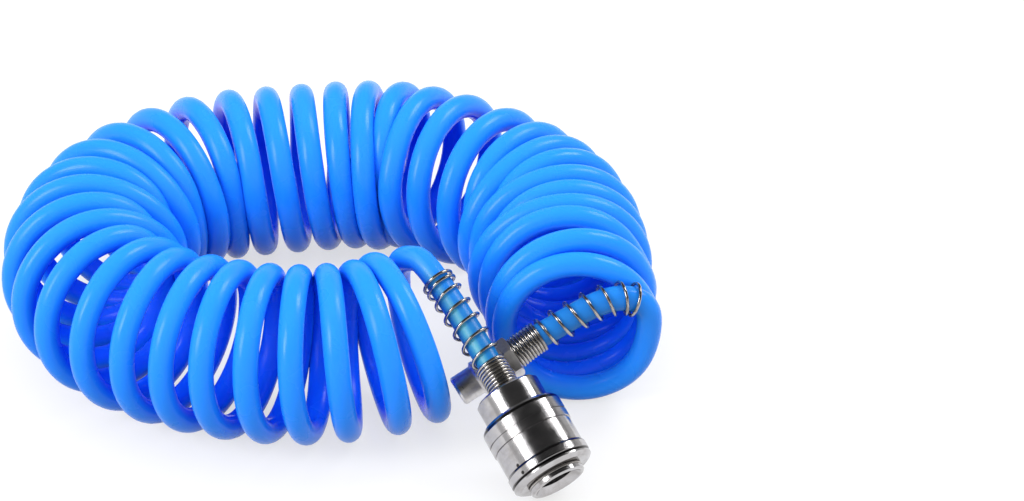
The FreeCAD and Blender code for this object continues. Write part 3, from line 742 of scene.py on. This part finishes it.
@dataclass
class AirHose:
    """The hose itself, wound into its coil, with a bore at each end.

    Near its ends it looks clear, and the side that faces the light gets a painted highlight there. Sides
    that face into the turns get painted shade away from the ends. The reaches are distances from an end,
    and the highlight and shade spans are how squarely a point has to face.
    """

    run: HoseRun
    facets: int = 20
    bore_radius: float = 2.5 * MM
    bore_rings: int = 12
    clear_reach: Span = (21.0 * MM, 70.0 * MM)
    far_clear: float = 0.75
    # painted highlight: the side the lamps face, and how squarely a point must face it
    highlight_side: Spot = (-0.41, -0.7, 0.58)
    highlight_span: Span = (0.86, 0.98)
    # painted shade: spans of distance from an end and of facing into the turn
    painted_shade_reach: Span = (60.0 * MM, 140.0 * MM)
    painted_shade_span: Span = (-0.25, 0.9)
    finish: HosePlastic = field(default_factory=HosePlastic)

    def mesh(self, line: np.ndarray) -> bpy.types.Mesh:
        """Build the skin of the hose with an open bore at each end.

        Args:
            line: Centre line of the hose.

        Returns:
            The mesh, with the point values that its finish reads.
        """
        across, lift = carried_frames(line, self.run.coupler.side())
        bore = np.arange(self.bore_rings)
        order = np.concatenate([bore[::-1], np.arange(len(line)), len(line) - 1 - bore])
        radii = np.full(len(order), self.run.hose_diameter / 2.0 * MM)
        radii[:self.bore_rings] = self.bore_radius
        radii[-self.bore_rings:] = self.bore_radius
        mesh = tube_mesh("air_hose", line[order], radii, across[order], lift[order], self.facets)
        places = np.array([vertex.co for vertex in mesh.vertices], float).reshape(len(order), -1, 3)
        outward = (places - line[order][:, None]) / radii[:, None, None]
        # painted shade: share for each point, by how far it faces into its turn
        self.mark(mesh, "inward", self.painted_shade_values(line, order, outward))
        stations = stations_of(line)
        near, far = [1.0 - smooth_step(*self.clear_reach, gap)
                     for gap in (stations, stations[-1] - stations)]
        clear = near + self.far_clear * far
        self.mark(mesh, "clear", np.repeat(clear[order][:, None], self.facets, axis=1))
        # painted highlight: share for each point facing the lamps near the coupler end
        facing = outward @ unit(np.array(self.highlight_side))
        self.mark(mesh, "highlight_share", smooth_step(*self.highlight_span, facing) * np.sqrt(near)[order][:, None])
        return mesh

    def mark(self, mesh: bpy.types.Mesh, name: str, values: np.ndarray) -> None:
        """Write one number for each point of the mesh, which the finish reads by its name."""
        layer = mesh.attributes.new(name, "FLOAT", "POINT")
        layer.data.foreach_set("value", values.reshape(-1).astype(np.float32))

    def painted_shade_values(self, line: np.ndarray, order: np.ndarray, outward: np.ndarray) -> np.ndarray:
        """Work out the share of painted shade at each point: how far it faces the middle of its own turn,
        away from the hose's ends.

        Args:
            line: Centre line of the hose.
            order: Index of the line's point for each ring.
            outward: Direction out of the hose at each point of each ring.

        Returns:
            A number from 0 to 1 for each point of each ring.
        """
        route = self.run.route()
        gaps = np.linalg.norm(line[:, None, :2] - route[None, :, :2], axis=2)
        inward = route[gaps.argmin(axis=1)] - line
        inward /= np.linalg.norm(inward, axis=1)[:, None]
        facing = np.einsum("rfk,rk->rf", outward, inward[order])
        stations = stations_of(line)
        ends = np.minimum(stations, stations[-1] - stations)
        return smooth_step(*self.painted_shade_span, facing) * smooth_step(*self.painted_shade_reach, ends)[order][:, None]

    def build(self, line: np.ndarray) -> bpy.types.Object:
        """Make the hose and dress it.

        Args:
            line: Centre line of the hose.

        Returns:
            The piece.
        """
        hose = add_piece("air_hose", self.mesh(line), "hose")
        hose.data.materials.append(self.finish.material())
        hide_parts("hose_coil", "hose_tail_coupler", "hose_tail_plug")
        return hose


@dataclass
class BendGuard:
    """A wire guard wound round the end of the hose: close turns, open turns and two turns at its end.

    Sizes are in millimetres and the twist, at which the winding starts, is in degrees. The wire
    lies further from the hose after its close turns, and the flare span says over which turns
    from the last close one.
    """

    name: str
    node: str
    start: float
    close_turns: int
    open_turns: int
    open_pitch: float
    twist: float
    wire: float = 0.55
    hose_gap: float = 0.15
    flare: float = 0.4
    flare_span: Span = (-0.5, 1.5)
    close_pitch: float = 1.12
    end_turns: int = 1
    end_pitch: float = 3.2
    end_close_pitch: float = 1.4
    steps: int = 24
    facets: int = 8

    def offsets(self) -> np.ndarray:
        """Distance along the hose at each step of the winding, in metres."""
        pitches = [self.close_pitch] * self.close_turns + [self.open_pitch] * self.open_turns
        pitches += [self.end_pitch] * self.end_turns + [self.end_close_pitch]
        knots = np.arange(len(pitches)) + 0.5
        turns = np.arange(len(pitches) * self.steps + 1) / self.steps
        pitch = np.interp(turns, knots, pitches)
        return (self.start + self.wire + np.concatenate([[0.0], np.cumsum(pitch[:-1]) / self.steps])) * MM

    def build(self, run: HoseRun, line: np.ndarray, first_side: np.ndarray,
              finish: bpy.types.Material) -> bpy.types.Object:
        """Wind the wire round the hose and dress it.

        Args:
            run: Sizes of the hose.
            line: Centre line of the hose, from the guard's fitting onwards.
            first_side: Direction from which the winding's angle counts.
            finish: Material of the wire.

        Returns:
            The piece.
        """
        offsets = self.offsets()
        stations = stations_of(line)
        centre, side, rise = [read_rows(table, stations, offsets)
                              for table in (line, *carried_frames(line, first_side))]
        turns = np.arange(len(offsets)) / self.steps
        angles = math.radians(self.twist) + np.arange(len(offsets)) * 2.0 * math.pi / self.steps
        flare_start, flare_end = [self.close_turns + turn for turn in self.flare_span]
        opening = smooth_step(flare_start, flare_end, turns)
        radius = (run.hose_diameter / 2.0 + self.hose_gap + self.wire + self.flare * opening) * MM
        wound = centre + radius[:, None] * (np.cos(angles)[:, None] * side + np.sin(angles)[:, None] * rise)
        wire_across, wire_lift = carried_frames(wound, UP)
        radii = np.full(len(wound), self.wire * MM)
        mesh = tube_mesh(self.name, wound, radii, wire_across, wire_lift, self.facets)
        close_ends(mesh, self.facets)
        guard = add_piece(self.name, mesh, "hose")
        guard.data.materials.append(finish)
        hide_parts(self.node)
        return guard


def close_ends(mesh: bpy.types.Mesh, facets: int) -> None:
    """Close both ends of a tube with a flat face.

    Args:
        mesh: A tube whose rings follow each other.
        facets: Points round one ring.
    """
    grid = bmesh.new()
    grid.from_mesh(mesh)
    grid.verts.ensure_lookup_table()
    count = len(grid.verts)
    grid.faces.new([grid.verts[index] for index in reversed(range(facets))])
    grid.faces.new([grid.verts[index] for index in range(count - facets, count)])
    grid.to_mesh(mesh)
    grid.free()


@dataclass
class Coupler:
    """The quick coupler: its turned pieces keep their shape and get their finishes."""

    plated: tuple[str, ...] = ("coupler_body", "coupler_sleeve", "coupler_end_cap")
    brass: tuple[str, ...] = ("coupler_hose_stem", "valve_poppet")
    springs: tuple[str, ...] = ("sleeve_spring", "valve_spring", "sleeve_stop_ring")
    seals: tuple[str, ...] = ("socket_seal", "cap_seal", "valve_seal")
    ball_count: int = 6

    def dress(self, finishes: dict[Slot, bpy.types.Material]) -> None:
        """Give every piece of the coupler its finish.

        Args:
            finishes: Material of each slot.
        """
        balls = tuple(f"locking_ball_{index + 1}" for index in range(self.ball_count))
        for slot, names in ((Slot.PLATED, self.plated), (Slot.BRASS, self.brass), (Slot.WIRE, self.springs),
                            (Slot.RUBBER, self.seals), (Slot.BALL, balls)):
            for name in names:
                dress_node(name, finishes[slot])


@dataclass
class Plug:
    """The plug and the nut that holds the hose on it."""

    plated: tuple[str, ...] = ("plug_body", "plug_hose_nut")

    def dress(self, finish: bpy.types.Material) -> None:
        """Give both pieces their finish."""
        for name in self.plated:
            dress_node(name, finish)


def dress_node(name: str, finish: bpy.types.Material) -> None:
    """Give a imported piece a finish.

    Args:
        name: Name of the piece.
        finish: Its material.
    """
    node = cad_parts[name]
    node.data.materials.clear()
    node.data.materials.append(finish)
    LOG.info("%s: %s", name, finish.name)


@dataclass(frozen=True)
class Lamp:
    """A soft lamp that points at the object, with the size of its face and its power in watts."""

    name: str
    place: Spot
    size: Span
    power: float

    def hang(self) -> None:
        """Put the lamp in the scene."""
        data = bpy.data.lights.new(self.name, "AREA")
        data.shape = "RECTANGLE"
        data.size, data.size_y = self.size
        data.energy = self.power
        lamp = bpy.data.objects.new(self.name, data)
        lamp.location = self.place
        lamp.rotation_euler = Vector(self.place).to_track_quat("Z", "Y").to_euler()
        bpy.context.scene.collection.objects.link(lamp)


@dataclass
class Studio:
    """Pale floor, soft lamps and the camera.

    The sky span is how high a reflection looks where the room starts and stops getting darker.
    """

    camera_place: Spot = (0.0591, -0.9644, 0.6878)
    camera_dip: float = 34.0
    clip_range: Span = (0.01, 50.0)
    lens: float = 126.74
    sensor: float = 36.0
    floor_half: float = 8.0
    floor_drop: float = 0.0003
    floor_colour: Colour = (0.3, 0.3, 0.3)
    floor_glow: float = 0.66
    sky_fill: float = 1.6
    sky_span: Span = (0.22, 0.5)
    sky_seen: Span = (0.8, 0.03)
    lamps: tuple[Lamp, ...] = (
        Lamp("left_window", place=(-1.05, -0.62, 0.85), size=(0.5, 0.7), power=11.0),
        Lamp("right_window", place=(0.75, 0.42, 0.85), size=(0.35, 0.5), power=5.0))

    def camera(self) -> None:
        """Set up the camera at the photograph's viewing angle."""
        data = bpy.data.cameras.new("view")
        data.lens = self.lens
        data.sensor_width = self.sensor
        data.clip_start, data.clip_end = self.clip_range
        camera = bpy.data.objects.new("view", data)
        camera.location = self.camera_place
        camera.rotation_euler = (math.radians(90.0 - self.camera_dip), 0.0, 0.0)
        bpy.context.scene.collection.objects.link(camera)
        bpy.context.scene.camera = camera

    def floor(self) -> None:
        """Lay the floor, which looks white and keeps the object's shadow."""
        reach = self.floor_half
        corners = [(x, y, -self.floor_drop)
                   for x, y in ((-reach, -reach), (reach, -reach), (reach, reach), (-reach, reach))]
        mesh = bpy.data.meshes.new("floor")
        mesh.from_pydata(corners, [], [(0, 1, 2, 3)])
        floor = bpy.data.objects.new("floor", mesh)
        bpy.context.scene.collection.objects.link(floor)
        bench = Bench.for_material("pale_floor")
        paint = bench.add("ShaderNodeBsdfDiffuse")
        paint.inputs["Color"].default_value = (*self.floor_colour, 1.0)
        glow = bench.add("ShaderNodeEmission")
        bench.link(bench.sums("MULTIPLY", seen_directly(bench), self.floor_glow), glow.inputs["Strength"])
        both = bench.add("ShaderNodeAddShader")
        bench.link(paint.outputs[0], both.inputs[0])
        bench.link(glow.outputs[0], both.inputs[1])
        output = bench.add("ShaderNodeOutputMaterial")
        bench.link(both.outputs[0], output.inputs["Surface"])
        mesh.materials.append(bench.material)

    def sky(self) -> None:
        """Fill the room with soft light: pale low down, and darker overhead where metal shows it."""
        world = bpy.data.worlds.new("room")
        bench = Bench(world)
        height = bench.add("ShaderNodeSeparateXYZ")
        bench.link(bench.add("ShaderNodeTexCoord").outputs["Generated"], height.inputs[0])
        seen = bench.ramp(height.outputs[2], *self.sky_span, *self.sky_seen)
        strength = bench.add("ShaderNodeMix", data_type="FLOAT")
        bench.link(seen_directly(bench), strength.inputs[0])
        strength.inputs[2].default_value = self.sky_fill
        bench.link(seen, strength.inputs[3])
        background = bench.add("ShaderNodeBackground")
        bench.link(strength.outputs[0], background.inputs["Strength"])
        output = bench.add("ShaderNodeOutputWorld")
        bench.link(background.outputs[0], output.inputs["Surface"])
        bpy.context.scene.world = world

    def build(self) -> None:
        """Set up camera, floor, sky, lamps and the plain view."""
        bpy.context.scene.view_settings.view_transform = "Standard"
        self.camera()
        self.floor()
        self.sky()
        for lamp in self.lamps:
            lamp.hang()
        LOG.info("studio: camera, floor, sky and %d lamps", len(self.lamps))


def seen_directly(bench: Bench) -> bpy.types.NodeSocket:
    """One for rays from the camera, a mirror or glass, and zero for all others."""
    path = bench.add("ShaderNodeLightPath")
    direct = bench.sums("MAXIMUM", path.outputs["Is Camera Ray"], path.outputs["Is Glossy Ray"])
    return bench.sums("MAXIMUM", direct, path.outputs["Is Transmission Ray"])


def finishes_for(run: HoseRun) -> tuple[dict[Slot, bpy.types.Material], bpy.types.Material]:
    """Make the metal and rubber finishes.

    Args:
        run: Where the fittings lie.

    Returns:
        The material of each slot, and the plug's plating, which is brightened as painted light.
    """
    axis, front = run.coupler.back(), run.spot(run.coupler.front)
    plated = Metal("bright_plating", colour=(0.5, 0.49, 0.5), shade=(0.4, 0.385, 0.385), roughness=0.17,
                   dots=((0.06087, -0.08971, 0.01872), (0.06238, -0.09217, 0.01793)),
                   # painted shade: the rings darken the sleeve's grooves
                   groove_shades=(4.7 * MM, 7.9 * MM, 23.8 * MM))
    # painted light: the plug's plating is paler than the coupler's so that its nose, in the coupler's shade,
    # looks lit
    brightened_plug_plating = Metal("plug_brightened_plating", colour=(0.75, 0.73, 0.72), shade=(0.52, 0.5, 0.49), roughness=0.36)
    wire = Metal("spring_wire", colour=(0.5, 0.48, 0.46), shade=(0.3, 0.28, 0.26), roughness=0.22)
    brass = Metal("plain_brass", colour=(0.62, 0.42, 0.16), shade=(0.45, 0.3, 0.12), roughness=0.28)
    ball = Metal("ball_steel", colour=(0.68, 0.68, 0.69), shade=(0.58, 0.58, 0.6), roughness=0.08)
    finishes = {
        Slot.PLATED: plated.material(axis, front),
        Slot.WIRE: wire.material(axis, front),
        Slot.BALL: ball.material(axis, front),
        Slot.BRASS: brass.material(axis, front),
        Slot.RUBBER: Rubber().material(),
    }
    return finishes, brightened_plug_plating.material(run.plug.back(), run.spot(run.plug.front))


def main() -> None:
    """Build the scene: studio and hose first, then the guards and the fittings."""
    logging.basicConfig(level=logging.INFO, format="%(name)s: %(message)s")
    Studio().build()
    run = HoseRun()
    line = run.centreline()
    hose = AirHose(run).build(line)
    finishes, plug_finish = finishes_for(run)
    coupler_guard = BendGuard("coupler_bend_guard", "bend_guard_coupler", start=0.0, close_turns=11,
                              open_turns=5, open_pitch=5.64, twist=0.0)
    plug_guard = BendGuard("plug_bend_guard", "bend_guard_plug", start=0.1, close_turns=10,
                           open_turns=5, open_pitch=5.45, twist=170.0, end_pitch=4.7, end_close_pitch=1.8)
    pieces = [coupler_guard.build(run, line, run.coupler.side(), finishes[Slot.WIRE]),
              plug_guard.build(run, line[::-1], run.plug.side(), finishes[Slot.WIRE])]
    Coupler().dress(finishes)
    Plug().dress(plug_finish)
    pieces += [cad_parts[name] for name in ("plug_body", "plug_hose_nut", "coupler_end_cap")]


if __name__ == "__main__":
    main()
